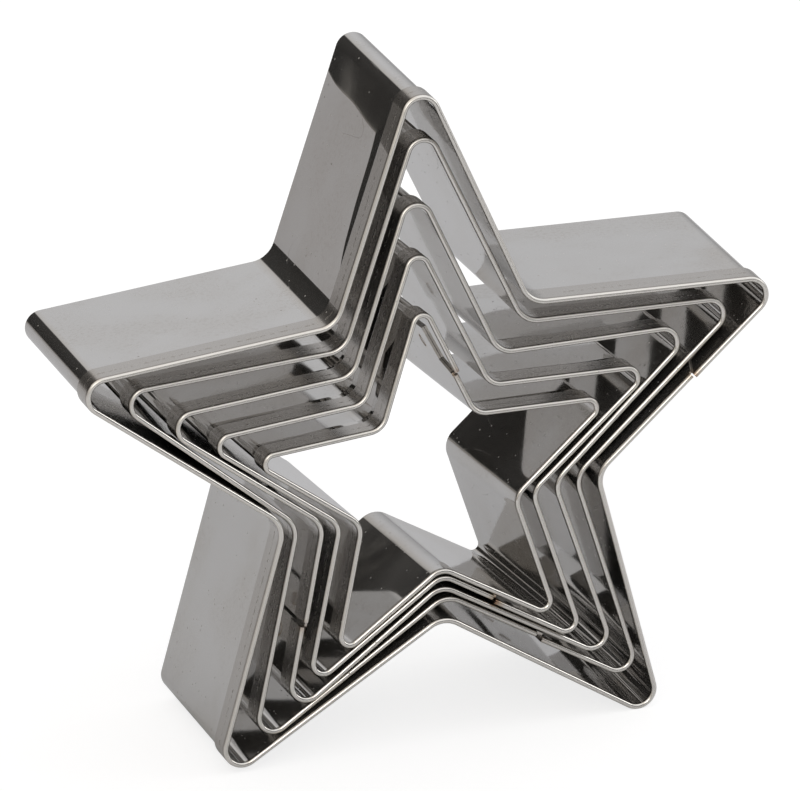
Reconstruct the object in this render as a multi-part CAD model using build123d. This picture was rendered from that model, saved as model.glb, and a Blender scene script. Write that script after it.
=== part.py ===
from build123d import *
import math
import os
from itertools import combinations

# Five star-shaped cookie cutters standing one inside the other.
# Each is one strip of thin stainless sheet: its upper rim is hemmed outwards, it is bent into
# a five-pointed star, and its two ends lap and are spot welded.
# Each inner cutter leans back a little in the one around it, as bare walls are thinner than rims.
# X runs to the right, Y from the hemmed rims to the cutting edges, Z up. Lengths are millimetres.

# The set
ACROSS = 80.0
SIZE_STEP = 10.0
HEIGHT = 25.4
CUTTERS = ("largest_cutter", "large_cutter", "middle_cutter", "small_cutter", "smallest_cutter")

# The strip and its hem
SHEET = 0.28
FOLD_GAP = 0.06
HEM_DEPTH = 3.6
NEST_GAP = 0.08
# How far the four inner cutters, pushed in together, stand behind the largest one
SET_BACK = 1.2

# Bend radii on the middle of the rim, from the largest cutter to the smallest
TIP_BENDS = (2.0, 1.75, 1.75, 1.25, 1.05)
NOTCH_BENDS = (3.0, 2.9, 2.6, 2.2, 2.2)

# The lap seam
LAP_LENGTH = 5.0
LAP_GAP = 0.03
# The inner end is cut back behind the hem over a short way, and its front edge slants
TAB_CUT = 1.0
TAB_SLANT = 1.0
# How far apart the two ends of each hem stay, from the largest cutter to the smallest
HEM_BREAKS = (0.2, 0.9, 0.6, 0.45, 0.25)
WELD_RADIUS = 0.8
WELD_DENT = 0.04

# Shape of the star, with corners counted clockwise from the top point
POINTS = 5
CORNERS = 2 * POINTS
NOTCH_SHARE = 0.432
TURN_DEGREES = (0.0, 0.4, 1.5, 1.0, 1.3)
# Each strip was bent by hand round a former, so its corners stray across and up by these shares
# of its own point radius.
BEND_SHARES = (
    ((-0.005, 0), (0.005, 0), (-0.005, 0.015), (0.01, 0), (-0.015, -0.005),
     (0.005, -0.01), (-0.02, 0), (0.015, -0.005), (-0.005, -0.01), (0.01, 0.01)),
    ((0.005, 0.005), (0.025, 0), (-0.005, 0.015), (0, -0.005), (-0.005, 0.015),
     (0, -0.005), (-0.005, -0.005), (-0.01, -0.02), (-0.005, 0.005), (0, -0.005)),
    ((0.005, -0.025), (-0.005, -0.01), (-0.005, 0.01), (-0.005, -0.005), (-0.01, 0.015),
     (-0.01, 0.01), (0.01, 0.01), (0.01, 0), (0.01, 0), (0, -0.005)),
    ((0, -0.015), (0.01, -0.01), (0.005, 0), (-0.005, 0), (-0.01, 0.02),
     (-0.005, 0.01), (0, 0.01), (0.01, 0), (0.005, -0.01), (-0.01, -0.005)),
    ((0.005, -0.03), (0, -0.01), (0, 0), (-0.005, 0.01), (-0.015, 0.025),
     (-0.005, 0.01), (0, 0.01), (0.015, 0.005), (0.005, -0.01), (0.005, -0.01)),
)
# The corner before each seam and the seam's share of the way to the next corner, as one number
SEAM_SHARES = (2.5, 4.51, 6.48, 4.62, 0.63)
# The welds' shares of the way from the rim to the cutting edge
WELD_SHARES = (0.3, 0.55, 0.8)

# Sizes that follow
RIM = 2 * SHEET + FOLD_GAP
HALF_RIM = RIM / 2
LAP_SHIFT = SHEET + LAP_GAP
RIM_SPACING = RIM + NEST_GAP
EDGE_SPACING = SHEET + NEST_GAP
STEP_ANGLE = math.pi / POINTS
SIDE_POINT_ANGLE = math.pi / 2 - 2 * STEP_ANGLE
TIP_HALF_ANGLE = math.atan2(NOTCH_SHARE * math.sin(STEP_ANGLE), 1 - NOTCH_SHARE * math.cos(STEP_ANGLE))
RIM_FRONT = -HEIGHT / 2
SEAM_FLANKS = [math.floor(share) for share in SEAM_SHARES]
RIGHT_POINT = CORNERS // POINTS
LEFT_POINT = CORNERS - RIGHT_POINT
LOWER_POINTS = (2 * RIGHT_POINT, 3 * RIGHT_POINT)


def flat_cross(first, second):
    """How far the second direction turns counter-clockwise from the first."""
    return first.X * second.Y - first.Y * second.X


def inward(start, end):
    """Unit direction into the star from a flank that runs clockwise from start to end."""
    along = (end - start).normalized()
    return Vector(along.Y, -along.X)


def meeting_point(start, along, other_start, other_along):
    """Where two lines cross."""
    reach = flat_cross(other_start - start, other_along) / flat_cross(along, other_along)
    return start + along * reach


def point_radius(rank):
    """Radius of a star's sharp points, from its width over the rounded side points."""
    half_width = (ACROSS - rank * SIZE_STEP) / 2
    bend = TIP_BENDS[rank]
    bend_centre = (half_width - HALF_RIM - bend) / math.cos(SIDE_POINT_ANGLE)
    return bend_centre + bend / math.sin(TIP_HALF_ANGLE)


def star_corners(rank):
    """The sharp corners of a star's rim line about its own middle, clockwise from the top."""
    radius = point_radius(rank)
    corners = []
    for number, (across, up) in enumerate(BEND_SHARES[rank]):
        reach = radius if number % 2 == 0 else radius * NOTCH_SHARE
        angle = math.pi / 2 + math.radians(TURN_DEGREES[rank]) - number * STEP_ANGLE
        stray = Vector(across, up) * radius
        corners.append(Vector(math.cos(angle), math.sin(angle)) * reach + stray)
    return corners


def bend_of(rank, number):
    """Radius of one of a cutter's bends: points are the even corners, notches the odd ones."""
    return TIP_BENDS[rank] if number % 2 == 0 else NOTCH_BENDS[rank]


def half_corner(corners, number):
    """Unit direction that halves a corner's inside angle, and half of that angle."""
    corner = corners[number]
    back = (corners[number - 1] - corner).normalized()
    ahead = (corners[(number + 1) % CORNERS] - corner).normalized()
    return (back + ahead).normalized(), math.radians(back.get_angle(ahead)) / 2


def bend_centre(corners, rank, number):
    """Middle of the arc that rounds a corner."""
    middle, half_angle = half_corner(corners, number)
    return corners[number] + middle * (bend_of(rank, number) / math.sin(half_angle))


def straight_end(corners, rank, number, towards):
    """Where a flank's straight part begins, on its way from one corner towards another."""
    half_angle = half_corner(corners, number)[1]
    along = (corners[towards] - corners[number]).normalized()
    return corners[number] + along * (bend_of(rank, number) / math.tan(half_angle))


def level_angle():
    """The turn that brings the largest cutter's two lower points level, in degrees."""
    corners = star_corners(0)
    right_foot, left_foot = [bend_centre(corners, 0, number) for number in LOWER_POINTS]
    return (right_foot - left_foot).get_signed_angle(Vector(1, 0))


def standing_place(corners):
    """The largest star moved onto the ground, with its side points evenly about the origin."""
    ground = bend_centre(corners, 0, LOWER_POINTS[0]).Y - TIP_BENDS[0] - HALF_RIM
    right = bend_centre(corners, 0, RIGHT_POINT).X
    left = bend_centre(corners, 0, LEFT_POINT).X
    return [corner - Vector((left + right) / 2, ground) for corner in corners]


def flank_rules(outer, inner, rank, spacing):
    """What keeps an inner star off the flanks around it, as directions and the room along each."""
    rules = []
    for number in range(CORNERS):
        after = (number + 1) % CORNERS
        tip, notch = (number, after) if number % 2 == 0 else (after, number)
        off_outer = inward(outer[number], outer[after])
        off_inner = inward(inner[number], inner[after])
        inner_end = straight_end(inner, rank + 1, tip, notch)
        rules.append((off_outer, off_outer.dot(inner_end - outer[tip]) - spacing))
        outer_ends = [straight_end(outer, rank, notch, tip)]
        if number == SEAM_FLANKS[rank]:
            seam, along, into = seam_of(outer, rank)
            outer_ends = [seam + into * LAP_SHIFT - along * LAP_LENGTH,
                          straight_end(outer, rank, after, number) + into * LAP_SHIFT]
        for outer_end in outer_ends:
            rules.append((off_inner, off_inner.dot(inner[number] - outer_end) - spacing))
    return rules


def seat(outer, inner, rank, spacing):
    """The move that brings the inner star to the lowest place that the star around it allows."""
    rules = flank_rules(outer, inner, rank, spacing)
    places = []
    for (first, first_room), (second, second_room) in combinations(rules, 2):
        spread = flat_cross(first, second)
        if abs(spread) < math.sin(math.radians(1)):
            continue
        across = (second_room * first.Y - first_room * second.Y) / spread
        up = (first_room * second.X - second_room * first.X) / spread
        shift = Vector(across, up)
        if all(off.dot(shift) + room > -NEST_GAP / 1000 for off, room in rules):
            places.append(shift)
    return min(places, key=lambda shift: shift.Y)


def leaning(star, sink):
    """The turn about a star's middle that lets its cutting edge sink, hem on the wall around it."""
    heights = [corner.Y for corner in star]
    pivot = stand_up(Vector(star[0].X, (min(heights) + max(heights)) / 2), HEIGHT / 2)
    along = Vector(sink.X, HEIGHT - HEM_DEPTH, sink.Y)
    across = along.cross(Vector(0, 0, 1))
    leant = Plane(origin=pivot, x_dir=across, z_dir=across.cross(along))
    return Location(leant) * Location(pivot).inverse()


def nested_stars():
    """Each star's corners in its own upright plane, and its place as it rests in the one before.

    A star's hem lies on the wall around it. Behind the hem its bare wall is thinner than the
    rim, so its cutting edge sinks, and it leans back a little in the star around it.
    """
    turn = level_angle()
    level = [[corner.rotate(Axis.Z, turn) for corner in star_corners(rank)]
             for rank in range(len(CUTTERS))]
    stars = [standing_place(level[0])]
    places = [Location()]
    for rank, inner in enumerate(level[1:]):
        centre = stars[rank][0] - level[rank][0]
        inner = [corner + centre for corner in inner]
        at_hem = seat(stars[rank], inner, rank, RIM_SPACING)
        sink = seat(stars[rank], inner, rank, EDGE_SPACING) - at_hem
        half_way = sink * (HEIGHT / 2 - HEM_DEPTH) / (HEIGHT - HEM_DEPTH)
        stars.append([corner + at_hem + half_way for corner in inner])
        set_back = Location((0, SET_BACK if rank == 0 else 0, 0))
        places.append(places[rank] * set_back * leaning(stars[-1], sink))
    return list(zip(stars, places))


def stand_up(flat, depth=0.0):
    """A point of the star's plane, set upright at a depth behind the rim."""
    return Vector(flat.X, RIM_FRONT + depth, flat.Y)


def seam_of(star, rank):
    """Where the strip's outer end begins, and the directions along its flank and into the star."""
    flank = SEAM_FLANKS[rank]
    first, second = star[flank], star[(flank + 1) % CORNERS]
    along = (second - first).normalized()
    into = inward(first, second)
    start = first + (second - first) * (SEAM_SHARES[rank] - flank)
    return start, along, into


def rim_path(star, rank):
    """Middle line of the hemmed rim, counter-clockwise from the outer end to the inner one."""
    flank = SEAM_FLANKS[rank]
    start, along, into = seam_of(star, rank)
    order = [(flank - step) % CORNERS for step in range(CORNERS)]
    corners = [star[number] for number in order]
    last, before = star[order[-1]], star[order[-2]]
    shifted = start + into * LAP_SHIFT
    corners[-1] = meeting_point(shifted, along, last, before - last)
    end = shifted + along * HEM_BREAKS[rank]
    bends = [bend_of(rank, number) for number in order]
    points = [stand_up(point) for point in [start, *corners, end]]
    return FilletPolyline(*points, radius=bends)


def hemmed_section(path):
    """The strip cut across: its wall, the fold at the rim and the flap lying along its outside."""
    tangent = path % 0
    outwards = tangent.cross(Vector(0, 1, 0)) * -1
    plane = Plane(origin=path @ 0, x_dir=outwards, z_dir=tangent)
    wall_inside = -HALF_RIM
    wall_outside = wall_inside + SHEET
    flap_outside = HALF_RIM
    flap_inside = flap_outside - SHEET
    outline = [
        Line((wall_inside, HEIGHT), (wall_inside, HALF_RIM)),
        ThreePointArc((wall_inside, HALF_RIM), (0, 0), (flap_outside, HALF_RIM)),
        Line((flap_outside, HALF_RIM), (flap_outside, HEM_DEPTH)),
        Line((flap_outside, HEM_DEPTH), (flap_inside, HEM_DEPTH)),
        Line((flap_inside, HEM_DEPTH), (flap_inside, HALF_RIM)),
        ThreePointArc((flap_inside, HALF_RIM), (0, SHEET), (wall_outside, HALF_RIM)),
        Line((wall_outside, HALF_RIM), (wall_outside, HEIGHT)),
        Line((wall_outside, HEIGHT), (wall_inside, HEIGHT)),
    ]
    return plane * make_face(outline)


def lap_tab(star, rank):
    """The inner end of the strip: cut back behind the hem, it lies inside the outer end."""
    start, along, into = seam_of(star, rank)
    hem_end = start + into * LAP_SHIFT + along * HEM_BREAKS[rank]
    origin = stand_up(hem_end + into * HALF_RIM)
    heading = stand_up(hem_end - along) - stand_up(hem_end)
    outwards = stand_up(hem_end - into) - stand_up(hem_end)
    plane = Plane(origin=origin, x_dir=heading, z_dir=outwards)
    depth_sign = plane.y_dir.Y
    reach = HEM_BREAKS[rank] + LAP_LENGTH
    shape = Polyline(
        (0, depth_sign * RIM),
        (HEM_BREAKS[rank], depth_sign * RIM),
        (HEM_BREAKS[rank] + TAB_CUT, depth_sign * HEM_DEPTH),
        (reach, depth_sign * (HEM_DEPTH + TAB_SLANT)),
        (reach, depth_sign * HEIGHT),
        (0, depth_sign * HEIGHT),
        close=True,
    )
    return extrude(plane * make_face(shape), SHEET)


def weld_cylinders(star, rank, length):
    """One cylinder for each spot weld, through the two sheets of the lap and centred on them."""
    start, along, into = seam_of(star, rank)
    middle = start - along * (LAP_LENGTH / 2)
    lap_middle = middle + into * (HALF_RIM - (SHEET - LAP_SHIFT) / 2)
    outwards = stand_up(lap_middle - into) - stand_up(lap_middle)
    spots = []
    for share in WELD_SHARES:
        plane = Plane(origin=stand_up(lap_middle, share * HEIGHT), z_dir=outwards)
        spots.append(plane * Cylinder(WELD_RADIUS, length))
    return spots


def cutter_band(star, rank):
    """The whole strip of one cutter, with the places of its spot welds left open."""
    path = rim_path(star, rank)
    band = sweep(hemmed_section(path), path=path)
    band = band + lap_tab(star, rank)
    return band - weld_cylinders(star, rank, 2 * LAP_SHIFT + SHEET)


def spot_welds(star, rank):
    """The melted spots that join the two ends, a little dented on both faces."""
    length = LAP_SHIFT + SHEET - 2 * WELD_DENT
    return [spot.solid() for spot in weld_cylinders(star, rank, length)]


os.makedirs("parts", exist_ok=True)
pieces = [(place, cutter_band(star, rank), spot_welds(star, rank))
          for rank, (star, place) in enumerate(nested_stars())]

# The origin lies halfway along the depth of the whole set
boxes = [(place * band).bounding_box() for place, band, spots in pieces]
middle = (min(box.min.Y for box in boxes) + max(box.max.Y for box in boxes)) / 2
for name, (place, band, spots) in zip(CUTTERS, pieces):
    centred = Location((0, -middle, 0)) * place
    export_step(centred * band, f"parts/{name}.step")
    joined = Compound(children=[centred * spot for spot in spots])
    export_step(joined, f"parts/{name}_spot_welds.step")
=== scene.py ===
"""Looks of the nested star cutters: their bright steel, the floor they stand on, light and camera.

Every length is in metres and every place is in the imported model's frame: X to the right, Y from the
hemmed rims to the cutting edges, Z up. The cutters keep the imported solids' own shape; this file gives
each its finish.
"""
import logging
import math
from dataclasses import dataclass, field
from enum import Enum
from typing import Mapping, Optional, Sequence, Union

import bpy
import numpy as np
from mathutils import Matrix, Vector


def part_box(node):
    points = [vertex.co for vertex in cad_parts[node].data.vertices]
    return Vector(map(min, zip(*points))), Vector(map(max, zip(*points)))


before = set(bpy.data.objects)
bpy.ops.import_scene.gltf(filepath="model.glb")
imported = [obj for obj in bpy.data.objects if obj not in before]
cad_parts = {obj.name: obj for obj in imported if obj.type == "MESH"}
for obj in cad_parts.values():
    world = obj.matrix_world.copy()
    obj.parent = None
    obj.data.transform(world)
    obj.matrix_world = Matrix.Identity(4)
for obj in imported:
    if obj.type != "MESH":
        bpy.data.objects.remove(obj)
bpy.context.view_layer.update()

Colour = tuple[float, float, float]
Place = tuple[float, float, float]
Step = tuple[float, float]
Value = Union["Wire", float, Sequence[float]]

MM = 0.001
NOISE_MEAN = 0.5
POINT_ANGLE = math.radians(36)
WHITE: Colour = (1.0, 1.0, 1.0)
LOG = logging.getLogger("star_cutters")


def colour4(colour: Colour) -> tuple[float, float, float, float]:
    """The colour with full cover."""
    return (*colour, 1.0)


def millimetres(x: float, y: float, z: float) -> Place:
    """A place given in millimetres."""
    return x * MM, y * MM, z * MM


@dataclass(frozen=True)
class Wire:
    """An output socket that arithmetic signs turn into Math nodes."""

    board: "Board"
    socket: Optional[bpy.types.NodeSocket]

    def maths(self, operation: str, first: Value, second: Value = 0.0) -> "Wire":
        """One Math node.

        Args:
            operation: The node's operation.
            first: The first number.
            second: The second number.

        Returns:
            The node's result.
        """
        return self.board.node("ShaderNodeMath", {"operation": operation}, {0: first, 1: second})

    def __add__(self, other: Value) -> "Wire":
        """This plus the other."""
        return self.maths("ADD", self, other)

    def __radd__(self, other: Value) -> "Wire":
        """The other plus this."""
        return self.maths("ADD", other, self)

    def __sub__(self, other: Value) -> "Wire":
        """This less the other."""
        return self.maths("SUBTRACT", self, other)

    def __rsub__(self, other: Value) -> "Wire":
        """The other less this."""
        return self.maths("SUBTRACT", other, self)

    def __mul__(self, other: Value) -> "Wire":
        """This times the other."""
        return self.maths("MULTIPLY", self, other)

    def __rmul__(self, other: Value) -> "Wire":
        """The other times this."""
        return self.maths("MULTIPLY", other, self)

    def __truediv__(self, other: Value) -> "Wire":
        """This over the other."""
        return self.maths("DIVIDE", self, other)

    def __pow__(self, other: Value) -> "Wire":
        """This to the other's power."""
        return self.maths("POWER", self, other)

    def at_least(self, floor: Value) -> "Wire":
        """The larger of this and the floor."""
        return self.maths("MAXIMUM", self, floor)

    def at_most(self, ceiling: Value) -> "Wire":
        """The smaller of this and the ceiling."""
        return self.maths("MINIMUM", self, ceiling)

    def size(self) -> "Wire":
        """This without its sign."""
        return self.maths("ABSOLUTE", self)

    def rise(self, low: float, high: float) -> "Wire":
        """A smooth step from 0 at low to 1 at high; low may be the greater, and then it falls."""
        settings = {"interpolation_type": "SMOOTHSTEP"}
        values = {"Value": self, "From Min": low, "From Max": high}
        if low > high:
            values = {"Value": self, "From Min": high, "From Max": low, "To Min": 1.0, "To Max": 0.0}
        return self.board.node("ShaderNodeMapRange", settings, values)


@dataclass(frozen=True)
class Clouds:
    """A cloudy noise: clouds to the metre, octaves and the weight of the finer ones.

    It may be stretched along each axis. Patches of it rise from 0 to 1 between the two heights
    that are shown.
    """

    scale: float
    detail: float
    rough: float = 0.5
    stretch: Optional[Place] = None
    shown: Step = (0.0, 1.0)


class Board:
    """The node tree of one material or world."""

    def __init__(self, tree: bpy.types.NodeTree) -> None:
        """Takes over a tree and empties it.

        Args:
            tree: The tree of the material or world.
        """
        self.tree = tree
        self.tree.nodes.clear()

    def node(self, kind: str, settings: Optional[Mapping[str, object]] = None,
             values: Optional[Mapping[Union[str, int], Value]] = None, out: Union[str, int] = 0) -> Wire:
        """Adds any node: its settings first, then the values or links of its sockets.

        Args:
            kind: The node's type name.
            settings: Attributes of the node.
            values: What each input socket, by name or number, holds or is linked to.
            out: The output that is handed back, by name or number.

        Returns:
            That output, or an empty one from a node that has none.
        """
        made = self.tree.nodes.new(kind)
        for name, setting in (settings or {}).items():
            setattr(made, name, setting)
        for key, value in (values or {}).items():
            target = made.inputs[key]
            if isinstance(value, Wire):
                self.tree.links.new(value.socket, target)
            else:
                target.default_value = value
        return Wire(self, made.outputs[out] if len(made.outputs) else None)

    def mix(self, share: Value, first: Value, second: Value) -> Wire:
        """A colour between two.

        Args:
            share: How much of the second, from 0 to 1.
            first: The first colour.
            second: The second colour.

        Returns:
            The mixed colour.
        """
        def ready(value: Value) -> Value:
            """Gives a plain colour its cover."""
            return value if isinstance(value, Wire) else colour4(value)
        values = {0: share, 6: ready(first), 7: ready(second)}
        return self.node("ShaderNodeMix", {"data_type": "RGBA"}, values, out=2)

    def noise(self, place: Value, clouds: Clouds) -> Wire:
        """Cloudy noise about its mean.

        Args:
            place: Where it is read.
            clouds: Its settings.

        Returns:
            The noise's height.
        """
        if clouds.stretch is not None:
            place = self.node("ShaderNodeMapping", None, {"Vector": place, "Scale": clouds.stretch})
        values = {"Vector": place, "Scale": clouds.scale, "Detail": clouds.detail, "Roughness": clouds.rough}
        return self.node("ShaderNodeTexNoise", None, values)

    def patches(self, place: Value, clouds: Clouds) -> Wire:
        """Patches of a cloudy noise: 1 where it is high, 0 where it is low."""
        return self.noise(place, clouds).rise(*clouds.shown)

    def measure(self, operation: str, first: Value, second: Sequence[float]) -> Wire:
        """One Vector Math node that gives a number.

        Args:
            operation: The node's operation.
            first: The first vector.
            second: The second vector.

        Returns:
            The number.
        """
        values = {0: first, 1: second}
        return self.node("ShaderNodeVectorMath", {"operation": operation}, values, out="Value")

    def along(self, place: Value, way: Place) -> Wire:
        """How far a place, or another vector, lies along a direction of length 1."""
        return self.measure("DOT_PRODUCT", place, way)

    def apart(self, place: Value, other: Place) -> Wire:
        """How far apart two places are."""
        return self.measure("DISTANCE", place, other)

    def bump(self, height: Wire) -> Wire:
        """The normal of a surface with this height, in metres."""
        return self.node("ShaderNodeBump", None, {"Strength": 1.0, "Distance": 1.0, "Height": height})

    def show(self, surface: Wire, kind: str = "ShaderNodeOutputMaterial") -> None:
        """Links a shader to the tree's output."""
        self.node(kind, None, {"Surface": surface})


def blank_material(name: str) -> tuple[bpy.types.Material, Board]:
    """A new material with nothing in it.

    Args:
        name: The material's name.

    Returns:
        The material, and its node tree.
    """
    made = bpy.data.materials.new(name)
    made.use_nodes = True
    return made, Board(made.node_tree)


class Bend(Enum):
    """The two kinds of corner that a star strip has."""

    POINT = "point"
    NOTCH = "notch"


@dataclass(frozen=True)
class Star:
    """Where a cutter's star lies in its own leaning frame, worked out from its node's mesh.

    Its frame runs along the depth from the rim to the cutting edge, to the right across the star and
    up to the top point, and the centre, the rim and the edge are measured in it. A five-pointed star
    that stands on two points is (1 + cos 36 degrees) of its reach high, and its notches lie at a
    share of its reach.
    """

    along: Place
    right: Place
    up: Place
    centre_x: float
    centre_z: float
    reach: float
    rim: float
    edge: float
    notch_share: float = 0.473

    @classmethod
    def of_node(cls, node: str, along: Place) -> "Star":
        """Reads the star of a cutter.

        Args:
            node: The cutter's node.
            along: The direction from its rim to its cutting edge.

        Returns:
            Its star.
        """
        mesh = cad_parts[node].data
        places = np.empty(3 * len(mesh.vertices), dtype=np.float32)
        mesh.vertices.foreach_get("co", places)
        right = np.cross(along, (0.0, 0.0, 1.0))
        right /= np.linalg.norm(right)
        up = np.cross(right, along)
        own = places.reshape(-1, 3) @ np.stack([right, along, up], axis=1)
        (left, rim, foot), (side, edge, top) = own.min(axis=0).tolist(), own.max(axis=0).tolist()
        reach = (top - foot) / (1 + math.cos(POINT_ANGLE))
        ways = (along, tuple(right.tolist()), tuple(up.tolist()))
        return cls(*ways, (left + side) / 2, top - reach, reach, rim, edge)

    def bend_reach(self, bend: Bend) -> float:
        """How far from the middle a kind of corner lies."""
        return self.reach if bend is Bend.POINT else self.reach * self.notch_share


class Tone(Enum):
    """The colours of the sheet and of what lies on it."""

    STEEL = (0.61, 0.598, 0.582)
    DULL_STEEL = (0.50, 0.465, 0.42)
    HEM_STEEL = (0.44, 0.41, 0.375)
    # The worn rim's steel, painted much lighter than the sheet as a sheen
    WORN_STEEL_AND_PAINTED_SHEEN = (0.86, 0.83, 0.775)
    # Grime on pits, tool marks and crease, and also the painted shade beside the rim
    GRIME_AND_PAINTED_SHADE = (0.20, 0.165, 0.125)
    DUST = (0.56, 0.545, 0.515)
    STRAW = (0.52, 0.40, 0.27)
    COPPER = (0.36, 0.19, 0.11)


class Mark(Enum):
    """What a place on the sheet can show, each from 0 to 1."""

    DULLING = "broad dull cloud"
    SMUDGE = "smudge"
    GRAIN = "fine grain"
    ROLLING = "rolling line"
    SCRATCH = "hairline scratch"
    PIT = "pit"
    DUST = "speck of dust"
    HEM = "outside of the hem"
    # Worn, and painted lighter as a sheen
    RIM = "worn rim"
    # Painted shade: a dark line on each side of the rim
    BESIDE_RIM = "shade beside the rim"
    TOOLED = "row of tool marks on the hem"
    CREASE = "sheet just behind the hem"
    CREASE_GRIME = "grime just behind the hem"
    SHEARED = "sheared edge"
    HEAT = "straw tint from heat"
    HEAT_CORE = "copper tint from heat"


Weights = tuple[tuple[Mark, float], ...]
Marks = Mapping[Mark, Wire]


def weighed(marks: Marks, weights: Weights, start: float = 0.0) -> Wire:
    """The sum of some marks, each times its weight.

    Args:
        marks: How much of each mark shows.
        weights: The weight of each mark in the sum.
        start: What the sum starts from.

    Returns:
        The sum.
    """
    total: Value = start
    for mark, weight in weights:
        total = total + weight * marks[mark]
    return total


@dataclass(frozen=True)
class Coat:
    """A tone laid over those before it, as thickly as some marks show."""

    tone: Tone
    cover: Weights


@dataclass(frozen=True)
class Seat:
    """Where a shaded place sits on its cutter, and the noises that several marks share there.

    It holds the Object coordinates and the cutter's own ones for noises, the depth behind the rim, the
    height above the star's middle and the distance from it, 1 on an outer face, and how far the face
    looks along the depth.
    """

    place: Wire
    own: Wire
    depth: Wire
    above: Wire
    reach: Wire
    outside: Wire
    edge_on: Wire
    cloud: Wire
    fine: Wire
    rolling: Wire


@dataclass(frozen=True)
class BrightSheet:
    """Bright rolled stainless sheet, hemmed and bent: the finish of a whole cutter.

    The steel is a mirror whose roughness and tint change with faint rolling lines, grain, smudges,
    pits and dust. The hem is duller, and has a row of tool marks and a worn rim, which is painted
    lighter as a sheen, with a painted shade beside it. Near each bend the sheet bows, and round the
    welds it is tinted by heat. A Step is the value at which a mark starts and the one at which it is
    whole.
    """

    polish: float = 0.055
    bareness: float = 0.945

    # What the marks do: tint the steel, roughen it, hide its metal and raise or sink its face
    coats: tuple[Coat, ...] = (
        Coat(Tone.DULL_STEEL, ((Mark.DULLING, 0.3),)),
        Coat(Tone.DULL_STEEL, ((Mark.SMUDGE, 0.4),)),
        Coat(Tone.HEM_STEEL, ((Mark.GRAIN, 0.3),)),
        Coat(Tone.HEM_STEEL, ((Mark.HEM, 0.65), (Mark.CREASE, 0.35))),
        # Painted shade: a dark line beside the rim
        Coat(Tone.GRIME_AND_PAINTED_SHADE, ((Mark.BESIDE_RIM, 0.6),)),
        Coat(Tone.GRIME_AND_PAINTED_SHADE, ((Mark.TOOLED, 0.4), (Mark.CREASE_GRIME, 0.5))),
        Coat(Tone.GRIME_AND_PAINTED_SHADE, ((Mark.PIT, 0.7),)),
        # The worn rim, painted lighter as a sheen
        Coat(Tone.WORN_STEEL_AND_PAINTED_SHEEN, ((Mark.RIM, 0.9),)),
        Coat(Tone.STRAW, ((Mark.HEAT, 0.75),)),
        Coat(Tone.COPPER, ((Mark.HEAT_CORE, 0.8),)),
        Coat(Tone.DUST, ((Mark.DUST, 0.8),)),
    )
    roughening: Weights = (
        (Mark.SMUDGE, 0.05), (Mark.ROLLING, 0.05), (Mark.SCRATCH, 0.10), (Mark.HEM, 0.16),
        (Mark.RIM, 0.08), (Mark.TOOLED, 0.15), (Mark.DUST, 0.6), (Mark.HEAT, 0.12), (Mark.SHEARED, 0.35),
    )
    hiding: Weights = ((Mark.DUST, 0.6), (Mark.SHEARED, 0.35))
    raising: Weights = (
        (Mark.TOOLED, -0.008 * MM), (Mark.PIT, -0.004 * MM), (Mark.SCRATCH, -0.0015 * MM),
    )

    # Each smaller cutter reads the noises this much further on, so that no two look alike
    shift_across: float = 0.31
    shift_along: float = 0.17
    turned_out: Step = (-0.0005, 0.0005)

    # Noises, and the heights at which their marks show
    cloud: Clouds = Clouds(90.0, 3.0)
    fine: Clouds = Clouds(900.0, 3.0)
    # Rolling lines run along the strip, so they change quickly with depth and slowly along it
    rolling: Clouds = Clouds(1.0, 4.0, 0.6, stretch=(6.0, 900.0, 6.0))
    smudges: Clouds = Clouds(55.0, 4.0, 0.62, shown=(0.53, 0.72))
    grain: Clouds = Clouds(2500.0, 1.0, shown=(0.52, 0.66))
    scratch_lines: Clouds = Clouds(260.0, 0.0, stretch=(1.0, 0.25, 0.6))
    scratch_patches: Clouds = Clouds(120.0, 1.0, shown=(0.56, 0.64))
    scratch_width: Step = (0.006, 0.002)
    dulled: Step = (0.35, 0.7)
    grained: Step = (0.40, 0.58)

    # Specks: cells to the metre, a dot's size in cells, and the draws that give a cell one
    specks: float = 1000.0
    dust_size: Step = (0.13, 0.06)
    dust_lot: Step = (0.60, 0.64)
    pit_size: Step = (0.16, 0.07)
    pit_lot: Step = (0.92, 0.95)

    # The hem and what lies beside it, by depth behind the rim
    hem_depth: float = 3.6 * MM
    hem_end: Step = (3.65 * MM, 3.55 * MM)
    rim_band: Step = (0.279 * MM, 0.124 * MM)
    shade_start: Step = (0.248 * MM, 0.31 * MM)
    shade_end: Step = (0.60 * MM, 0.45 * MM)
    tool_line: float = 1.8 * MM
    tool_line_width: Step = (0.22 * MM, 0.08 * MM)
    tool_line_waver: float = 0.4 * MM
    tool_dents: Clouds = Clouds(2600.0, 1.0, shown=(0.50, 0.62))
    crease_fade: Step = (0.9 * MM, 0.0)
    crease_grimy: Step = (0.5, 0.7)
    cut_face: Step = (0.15, 0.30)
    past_rim: Step = (0.9 * MM, 1.0 * MM)

    # Heat tint, by distance from where it was heated
    heat_ring: Step = (1.5 * MM, 0.525 * MM)
    heat_core: Step = (0.675 * MM, 0.3 * MM)

    # Ripple: its noises and how high they stand
    swell: Clouds = Clouds(38.0, 1.0)
    swell_height: float = 0.10 * MM
    wave: Clouds = Clouds(130.0, 1.0)
    wave_height: float = 0.012 * MM
    line_height: float = 0.0002 * MM
    hem_line_height: float = 0.0018 * MM
    fine_height: float = 0.0004 * MM

    # Bows: the top point's cone, the band beside its hem, and the notches
    bow_waver: Clouds = Clouds(75.0, 0.6)
    waver_reach: float = 3.2 * MM
    cone_edge: float = 4.1 * MM
    cone_spread: float = 0.11
    band_width: float = 3.9 * MM
    band_taper: float = 0.13
    band_fade: Step = (24 * MM, 17 * MM)
    draw_onset: float = 0.15 * MM
    draw_slope: float = 0.10
    notch_draw: float = 3.0 * MM
    notch_bow: float = 16.0

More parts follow.
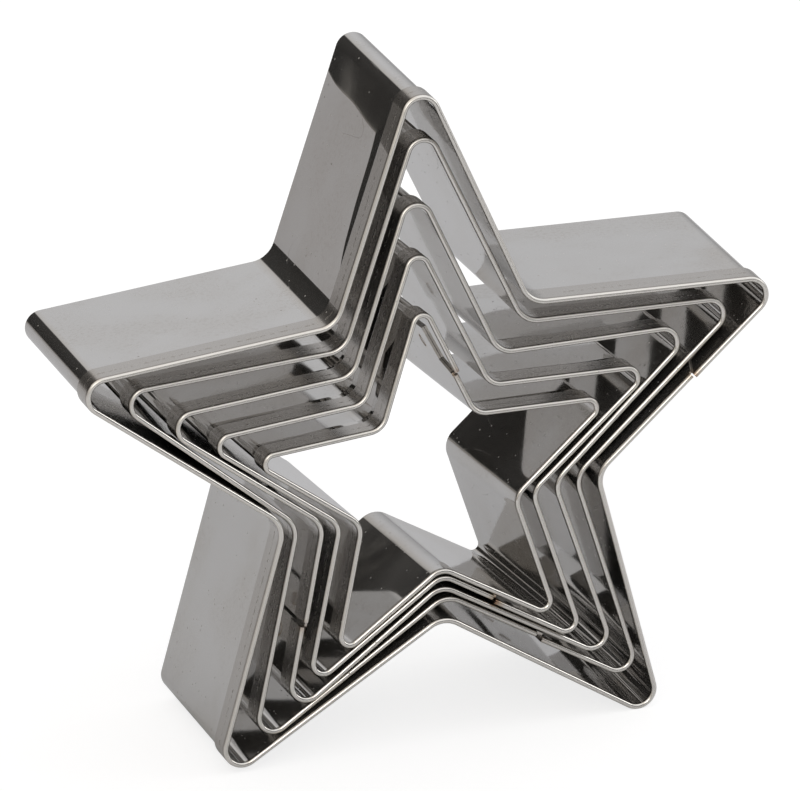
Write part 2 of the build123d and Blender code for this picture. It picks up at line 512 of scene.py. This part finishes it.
    def make(self, cutter: "Cutter") -> bpy.types.Material:
        """Builds the material for one cutter.

        Args:
            cutter: The cutter that wears it.

        Returns:
            The material.
        """
        made, board = blank_material("bright_sheet_" + cutter.node)
        seat = self._seat(board, cutter)
        marks = {
            **self._wear_marks(board, seat),
            **self._hem_marks(board, seat),
            **self._heat_marks(board, seat, cutter),
        }
        tint: Value = Tone.STEEL.value
        for coat in self.coats:
            tint = board.mix(weighed(marks, coat.cover).at_most(1.0), tint, coat.tone.value)
        bows = self._bows(board, seat, cutter.star, marks[Mark.HEM])
        ripple = self._ripple(board, seat, marks[Mark.HEM])
        values = {
            "Base Color": tint,
            "Metallic": self.bareness - weighed(marks, self.hiding),
            "Roughness": weighed(marks, self.roughening, self.polish).at_most(1.0),
            "Normal": board.bump(bows + ripple + weighed(marks, self.raising)),
        }
        board.show(board.node("ShaderNodeBsdfPrincipled", None, values))
        return made

    def _seat(self, board: Board, cutter: "Cutter") -> Seat:
        """Where a shaded place sits in its star's own leaning frame.

        A face is an outer one where its normal points away from the star's middle.

        Args:
            board: The node tree.
            cutter: The cutter.

        Returns:
            The place, told in every way that the marks and bows need.
        """
        star = cutter.star
        place = board.node("ShaderNodeTexCoord", out="Object")
        normal = board.node("ShaderNodeTexCoord", out="Normal")
        depth = board.along(place, star.along) - star.rim
        off_x = board.along(place, star.right) - star.centre_x
        above = board.along(place, star.up) - star.centre_z
        shifts = self.shift_across * cutter.rank, self.shift_along * cutter.rank
        own_values = {0: off_x + shifts[0], 1: depth + shifts[1], 2: above}
        own = board.node("ShaderNodeCombineXYZ", None, own_values)
        faces_out = off_x * board.along(normal, star.right) + above * board.along(normal, star.up)
        return Seat(
            place=place,
            own=own,
            depth=depth,
            above=above,
            reach=(off_x * off_x + above * above) ** 0.5,
            outside=faces_out.rise(*self.turned_out),
            edge_on=board.along(normal, star.along).size(),
            cloud=board.noise(own, self.cloud),
            fine=board.noise(own, self.fine),
            rolling=board.noise(own, self.rolling),
        )

    def _wear_marks(self, board: Board, seat: Seat) -> Marks:
        """The marks that lie anywhere on the sheet.

        Specks are dots in the middles of cells, and a draw for each cell says whether it holds
        dust, a pit or neither. Scratches are thin level lines of a slow noise, kept in patches.

        Args:
            board: The node tree.
            seat: The shaded place.

        Returns:
            How much of each shows.
        """
        speck_values = {"Vector": seat.own, "Scale": self.specks, "Randomness": 1.0}
        near = board.node("ShaderNodeTexVoronoi", None, speck_values, out="Distance")
        draw = board.node("ShaderNodeTexVoronoi", None, speck_values, out="Color")
        lot, other_lot = (board.node("ShaderNodeSeparateColor", None, {0: draw}, out=part)
                          for part in range(2))
        off_line = (board.noise(seat.own, self.scratch_lines) - NOISE_MEAN).size()
        return {
            Mark.DULLING: seat.cloud.rise(*self.dulled),
            Mark.SMUDGE: board.patches(seat.own, self.smudges),
            Mark.GRAIN: board.patches(seat.own, self.grain) * seat.cloud.rise(*self.grained),
            Mark.ROLLING: (seat.rolling - NOISE_MEAN).size(),
            Mark.SCRATCH: off_line.rise(*self.scratch_width) * board.patches(seat.own, self.scratch_patches),
            Mark.PIT: near.rise(*self.pit_size) * other_lot.rise(*self.pit_lot),
            Mark.DUST: near.rise(*self.dust_size) * lot.rise(*self.dust_lot),
        }

    def _hem_marks(self, board: Board, seat: Seat) -> Marks:
        """The hem and what lies beside it, by the depth behind the rim.

        Args:
            board: The node tree.
            seat: The shaded place.

        Returns:
            How much of each shows.
        """
        hem = seat.outside * seat.depth.rise(*self.hem_end)
        wander = (seat.cloud - NOISE_MEAN) * self.tool_line_waver
        off_line = (seat.depth - self.tool_line + wander).size()
        dents = board.patches(seat.own, self.tool_dents)
        crease = seat.outside * (1 - hem) * (seat.depth - self.hem_depth).rise(*self.crease_fade)
        return {
            Mark.HEM: hem,
            # The rim: worn, and painted lighter as a sheen
            Mark.RIM: seat.depth.rise(*self.rim_band),
            # Painted shade beside the rim
            Mark.BESIDE_RIM: seat.depth.rise(*self.shade_start) * seat.depth.rise(*self.shade_end),
            Mark.TOOLED: hem * off_line.rise(*self.tool_line_width) * dents,
            Mark.CREASE: crease,
            Mark.CREASE_GRIME: crease * seat.fine.rise(*self.crease_grimy),
            Mark.SHEARED: seat.edge_on.rise(*self.cut_face) * seat.depth.rise(*self.past_rim),
        }

    def _heat_marks(self, board: Board, seat: Seat, cutter: "Cutter") -> Marks:
        """Heat tint round the welds and at the hem's two ends, by distance from each.

        Args:
            board: The node tree.
            seat: The shaded place.
            cutter: The cutter, which knows where it was heated.

        Returns:
            How much of the straw tint shows, and of the copper tint in its middle.
        """
        ring: Value = 0.0
        core: Value = 0.0
        for heated, strength in cutter.heated_places():
            away = board.apart(seat.place, heated)
            ring = away.rise(*self.heat_ring) * strength + ring
            core = away.rise(*self.heat_core) * strength + core
        return {Mark.HEAT: ring.at_most(1.0), Mark.HEAT_CORE: core.at_most(1.0)}

    def _ripple(self, board: Board, seat: Seat, hem: Wire) -> Wire:
        """Height of the ripple all over the sheet: a slow swell, a wave, rolling lines and a fine noise.

        Args:
            board: The node tree.
            seat: The shaded place.
            hem: 1 on the hem's outside, where the lines are deeper.

        Returns:
            The height, in metres.
        """
        swell = board.noise(seat.own, self.swell) * self.swell_height
        wave = board.noise(seat.own, self.wave) * self.wave_height
        lines = seat.rolling * (self.line_height + hem * self.hem_line_height)
        return swell + wave + lines + seat.fine * self.fine_height

    def _bows(self, board: Board, seat: Seat, star: Star, hem: Wire) -> Wire:
        """Height of the slow bows in the outside of the sheet.

        The top point is drawn as a cone: past a line that runs nearer to the tip towards the
        cutting edge, the wall leans off at a steady slope that sets in over a short way. Beside
        the hem it leans so too, in a band that narrows down from the tip. Near a notch the wall
        rises with the square of the distance.

        Args:
            board: The node tree.
            seat: The shaded place.
            star: The cutter's star.
            hem: 1 on the hem's outside.

        Returns:
            The height, in metres.
        """
        below_tip = star.bend_reach(Bend.POINT) - seat.above
        waver = (board.noise(seat.own, self.bow_waver) - NOISE_MEAN) * self.waver_reach
        cone = self.cone_edge + (star.edge - star.rim - seat.depth) * self.cone_spread + waver
        past_cone = (cone - below_tip).at_least(0.0)
        band = (self.band_width - below_tip * self.band_taper + waver) * below_tip.rise(*self.band_fade)
        in_band = (band + self.hem_depth - seat.depth).at_least(0.0) * (1 - hem)
        drawn = past_cone.at_least(in_band)
        drawn = drawn * drawn / (drawn + self.draw_onset) * (-self.draw_slope)
        before_notch = (star.bend_reach(Bend.NOTCH) + self.notch_draw - seat.reach).at_least(0.0)
        return (drawn + before_notch * before_notch * self.notch_bow) * seat.outside


@dataclass(frozen=True)
class WeldSpot:
    """A resistance-welded spot: a dull, slightly grained disc with straw and brown heat rings."""

    middle: Colour = (0.50, 0.47, 0.44)
    ring: Colour = (0.45, 0.31, 0.18)
    ring_cover: float = 0.8
    ring_start: Step = (0.44 * MM, 0.76 * MM)
    ring_waver: float = 0.2 * MM
    spacing: float = 6.35 * MM
    polish: float = 0.22
    grain: Clouds = Clouds(2400.0, 3.0)
    grain_height: float = 0.006 * MM
    grain_roughness: float = 0.2
    ring_roughness: float = 0.08
    dish: float = 60.0

    def make(self, cutter: "Cutter") -> bpy.types.Material:
        """Builds the material for one cutter's welds.

        A weld's face rises with the square of the distance from its middle.

        Args:
            cutter: The cutter that they join.

        Returns:
            The material.
        """
        made, board = blank_material("weld_spot_" + cutter.node)
        place = board.node("ShaderNodeTexCoord", out="Object")
        nearest: Value = 1.0
        for weld in cutter.weld_places():
            nearest = board.apart(place, weld).at_most(nearest)
        grain = board.noise(place, self.grain)
        ring = (nearest + (grain - NOISE_MEAN) * self.ring_waver).rise(*self.ring_start)
        values = {
            "Base Color": board.mix(ring * self.ring_cover, self.middle, self.ring),
            "Metallic": 1.0,
            "Roughness": self.polish + grain * self.grain_roughness + ring * self.ring_roughness,
            "Normal": board.bump(nearest * nearest * self.dish + grain * self.grain_height),
        }
        board.show(board.node("ShaderNodeBsdfPrincipled", None, values))
        return made


@dataclass
class Cutter:
    """One star cutter: its strip and the spot welds that close it."""

    node: str
    rank: int
    along: Place
    seam: Place
    seam_heat: float
    weld_heat: float = 0.5
    sheet: BrightSheet = field(default_factory=BrightSheet)
    spot: WeldSpot = field(default_factory=WeldSpot)
    star: Star = field(init=False)

    def __post_init__(self) -> None:
        """Reads the star's place from the frame."""
        self.star = Star.of_node(self.node, self.along)

    @property
    def weld_node(self) -> str:
        """The node of this cutter's welds."""
        return self.node + "_spot_welds"

    def weld_places(self) -> list[Place]:
        """The middles of the welds: one in the middle of their node's box and one to each side."""
        low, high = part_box(self.weld_node)
        middle, apart = (low + high) / 2, Vector(self.along) * self.spot.spacing
        return [tuple(middle + apart * side) for side in (-1, 0, 1)]

    def heated_places(self) -> list[tuple[Place, float]]:
        """Where heat has tinted the strip, and how strongly: round each weld and at the seam's rim."""
        return [*((place, self.weld_heat) for place in self.weld_places()), (self.seam, self.seam_heat)]

    def dress(self) -> None:
        """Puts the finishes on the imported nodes."""
        for node, finish in ((self.node, self.sheet), (self.weld_node, self.spot)):
            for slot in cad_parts[node].material_slots:
                slot.material = finish.make(self)
            LOG.info("%s wears %s", node, type(finish).__name__)


@dataclass(frozen=True)
class Viewpoint:
    """The camera: where it looks, from which side, how far off and through which lens.

    The angles are in degrees, and the lens and its sensor in millimetres.
    """

    target: Place = (-0.00002, -0.00126, 0.03723)
    heading: float = 17.054
    elevation: float = 20.251
    roll: float = 2.612
    distance: float = 1.35147
    lens: float = 540.41
    sensor: float = 36.0
    nearest: float = 0.01
    farthest: float = 20.0

    def make(self) -> bpy.types.Object:
        """Adds the camera.

        The view runs along the heading, turned from +Y towards +X, and down by the elevation. The
        picture's right side then dips by the roll.

        Returns:
            The camera's object.
        """
        angles = self.heading, self.elevation, self.roll
        heading, elevation, roll = (math.radians(angle) for angle in angles)
        ahead = Vector((math.sin(heading) * math.cos(elevation), math.cos(heading) * math.cos(elevation),
                        -math.sin(elevation)))
        level = ahead.cross(Vector((0, 0, 1))).normalized()
        right = level * math.cos(roll) - level.cross(ahead) * math.sin(roll)
        above = right.cross(ahead)
        lens = bpy.data.cameras.new("camera")
        lens.lens = self.lens
        lens.sensor_width = self.sensor
        lens.clip_start = self.nearest
        lens.clip_end = self.farthest
        camera = bpy.data.objects.new("camera", lens)
        turn = Matrix((right, above, -ahead)).transposed().to_4x4()
        camera.matrix_world = Matrix.Translation(Vector(self.target) - ahead * self.distance) @ turn
        bpy.context.scene.collection.objects.link(camera)
        bpy.context.scene.camera = camera
        LOG.info("camera at %s", tuple(round(value, 4) for value in camera.location))
        return camera


@dataclass(frozen=True)
class SoftBox:
    """A square of soft light that faces a point."""

    name: str
    place: Place
    size: float
    power: float
    colour: Colour = WHITE
    aim: Place = (0.0, 0.0, 0.035)

    def make(self) -> bpy.types.Object:
        """Adds the light.

        Returns:
            The light's object.
        """
        lamp = bpy.data.lights.new(self.name, "AREA")
        lamp.shape = "SQUARE"
        lamp.size = self.size
        lamp.energy = self.power
        lamp.color = self.colour
        light = bpy.data.objects.new(self.name, lamp)
        away = Vector(self.place) - Vector(self.aim)
        turn = away.to_track_quat("Z", "Y").to_matrix().to_4x4()
        light.matrix_world = Matrix.Translation(Vector(self.place)) @ turn
        bpy.context.scene.collection.objects.link(light)
        LOG.info("%s of %.2f m at %s", self.name, self.size, self.place)
        return light


@dataclass(frozen=True)
class Paper:
    """Matt paper that greys with distance from the object.

    It also glows, so the camera sees it near white with a faint shadow, while the steel mirrors the
    plain paper.
    """

    # Painted pool of light: the paper is lighter near the object and greyer far off
    near: Colour = (0.66, 0.67, 0.69)
    far: Colour = (0.56, 0.555, 0.565)
    fade: Step = (0.30, 0.75)
    lit: Colour = (0.30, 0.30, 0.30)
    back_light: float = 0.78
    roughness: float = 0.9

    def make(self) -> bpy.types.Material:
        """Builds the material.

        Returns:
            The material.
        """
        made, board = blank_material("paper")
        away = board.apart(board.node("ShaderNodeTexCoord", out="Object"), (0.0, 0.0, 0.0))
        # Painted pool of light: the paper greys with distance from the object
        tint = board.mix(away.rise(*self.fade), self.near, self.far)
        plain_values = {"Base Color": tint, "Roughness": self.roughness}
        plain = board.node("ShaderNodeBsdfPrincipled", None, plain_values)
        lit_values = {"Base Color": colour4(self.lit), "Roughness": self.roughness,
                      "Emission Color": colour4(WHITE), "Emission Strength": self.back_light}
        lit = board.node("ShaderNodeBsdfPrincipled", None, lit_values)
        from_camera = board.node("ShaderNodeLightPath", out="Is Camera Ray")
        board.show(board.node("ShaderNodeMixShader", None, {0: from_camera, 1: plain, 2: lit}))
        return made


@dataclass(frozen=True)
class Floor:
    """The pale floor: a square of paper at height 0."""

    reach: float = 1.6
    rows: int = 9
    paper: Paper = Paper()

    def make(self) -> bpy.types.Object:
        """Lays the floor: a square grid at height 0, in rows of even steps both ways.

        Returns:
            The floor's object.
        """
        steps = np.linspace(-self.reach, self.reach, self.rows)
        across, along = np.meshgrid(steps, steps, indexing="ij")
        points = np.stack([across, along, np.zeros_like(across)], axis=-1).reshape(-1, 3)
        index = np.arange(points.shape[0]).reshape(across.shape)
        corners = [index[:-1, :-1], index[1:, :-1], index[1:, 1:], index[:-1, 1:]]
        faces = np.stack(corners, axis=-1).reshape(-1, 4)
        mesh = bpy.data.meshes.new("floor")
        mesh.from_pydata(points.tolist(), [], faces.tolist())
        floor = bpy.data.objects.new("floor", mesh)
        bpy.context.scene.collection.objects.link(floor)
        mesh.materials.append(self.paper.make())
        LOG.info("floor of %.1f m", 2 * self.reach)
        return floor


@dataclass(frozen=True)
class Screen:
    """A dark screen in the room, by where its soft edges lie along each axis of the direction."""

    x: Step
    y: Step
    z: Step
    darkness: float

    def cover(self, way: tuple[Wire, Wire, Wire]) -> Wire:
        """1 in the directions that the screen fills and 0 past its edges."""
        return way[0].rise(*self.x) * way[1].rise(*self.y) * way[2].rise(*self.z)


@dataclass(frozen=True)
class Room:
    """The room round the object, as seen in the steel.

    It is grey, and lighter overhead. Behind the object, up and to the left, hangs a dark screen
    whose lower edge slants and whose lower right corner is cut off. There is a less dark one in
    front. The camera itself sees plain white past the floor.
    """

    # The light from below, and what the walls and the ceiling add as the direction rises
    low_light: float = 0.36
    wall: Step = (-0.1, 0.45)
    wall_light: float = 0.39
    ceiling: Step = (0.5, 0.7)
    ceiling_light: float = 0.29

    # The two dark screens, and the slanting edge and cut corner of the one behind
    behind: Screen = Screen((-0.04, -0.09), (0.1, 0.3), (0.62, 0.55), 0.965)
    lower_edge_from: float = 0.435
    lower_edge_slope: float = 0.3
    lower_edge: Step = (-0.03, 0.03)
    cut_corner: Step = (0.40, 0.46)
    in_front: Screen = Screen((-0.12, 0.02), (-0.35, -0.75), (0.45, 0.30), 0.85)

    # The tone, from left to right
    across: Step = (-0.25, 0.25)
    left_tone: Colour = (0.80, 0.76, 0.715)
    right_tone: Colour = (0.97, 0.975, 1.0)

    def make(self) -> bpy.types.World:
        """Builds the room: its brightness and tone are worked out from the direction looked in.

        Returns:
            The world.
        """
        world = bpy.data.worlds.new("room")
        world.use_nodes = True
        board = Board(world.node_tree)
        way = board.node("ShaderNodeTexCoord", out="Generated")
        x, y, z = (board.node("ShaderNodeSeparateXYZ", None, {0: way}, out=axis) for axis in range(3))
        light = (self.low_light + z.rise(*self.wall) * self.wall_light
                 + z.rise(*self.ceiling) * self.ceiling_light)
        over_edge = (z - (x + self.lower_edge_from) * self.lower_edge_slope).rise(*self.lower_edge)
        behind = over_edge * (z - x).rise(*self.cut_corner) * self.behind.cover((x, y, z))
        in_front = self.in_front.cover((x, y, z))
        dark = (behind * self.behind.darkness).at_least(in_front * self.in_front.darkness)
        tone = board.mix(x.rise(*self.across), self.left_tone, self.right_tone)
        mirrored = board.node("ShaderNodeBackground", None, {"Color": tone, "Strength": light * (1 - dark)})
        seen = board.node("ShaderNodeBackground", None, {"Color": colour4(WHITE), "Strength": 1.0})
        from_camera = board.node("ShaderNodeLightPath", out="Is Camera Ray")
        both = board.node("ShaderNodeMixShader", None, {0: from_camera, 1: mirrored, 2: seen})
        board.show(both, "ShaderNodeOutputWorld")
        bpy.context.scene.world = world
        LOG.info("room set")
        return world


@dataclass(frozen=True)
class Studio:
    """The pale floor, the room that the steel mirrors and the soft lights."""

    floor: Floor = Floor()
    room: Room = Room()
    boxes: tuple[SoftBox, ...] = (
        SoftBox("front_softbox", (-0.45, -1.15, 0.75), 0.7, 2.9, (1.0, 0.975, 0.94)),
        SoftBox("right_softbox", (1.2, -0.35, 0.55), 0.6, 1.4),
    )

    def make(self) -> None:
        """Builds them, and shows colours as they are lit."""
        for piece in (self.floor, self.room, *self.boxes):
            piece.make()
        bpy.context.scene.view_settings.view_transform = "Standard"


def cutters() -> list[Cutter]:
    """The five cutters, from the largest to the smallest.

    Each has its rank, the direction of its depth, which leans with it, its seam's place at the rim
    and how much heat has tinted it there.
    """
    return [
        Cutter("largest_cutter", 0, (0.0, 1.0, 0.0), millimetres(30.96, -13.36, 38.92), 0.6),
        Cutter("large_cutter", 1, (-0.00176, 0.99982, -0.01915), millimetres(11.82, -12.67, 9.97), 0.15),
        Cutter("middle_cutter", 2, (-0.00322, 0.99925, -0.03857), millimetres(-16.28, -13.0, 16.1), 0.3),
        Cutter("small_cutter", 3, (-0.00149, 0.99833, -0.05781), millimetres(6.31, -13.31, 15.69), 1.0),
        Cutter("smallest_cutter", 4, (-0.00108, 0.99709, -0.07622), millimetres(3.59, -11.53, 43.0), 0.4),
    ]


def main() -> None:
    """Dresses the cutters, then sets the studio and the camera."""
    logging.basicConfig(level=logging.INFO, format="%(message)s")
    for cutter in cutters():
        cutter.dress()
    Studio().make()
    Viewpoint().make()


if __name__ == "__main__":
    main()
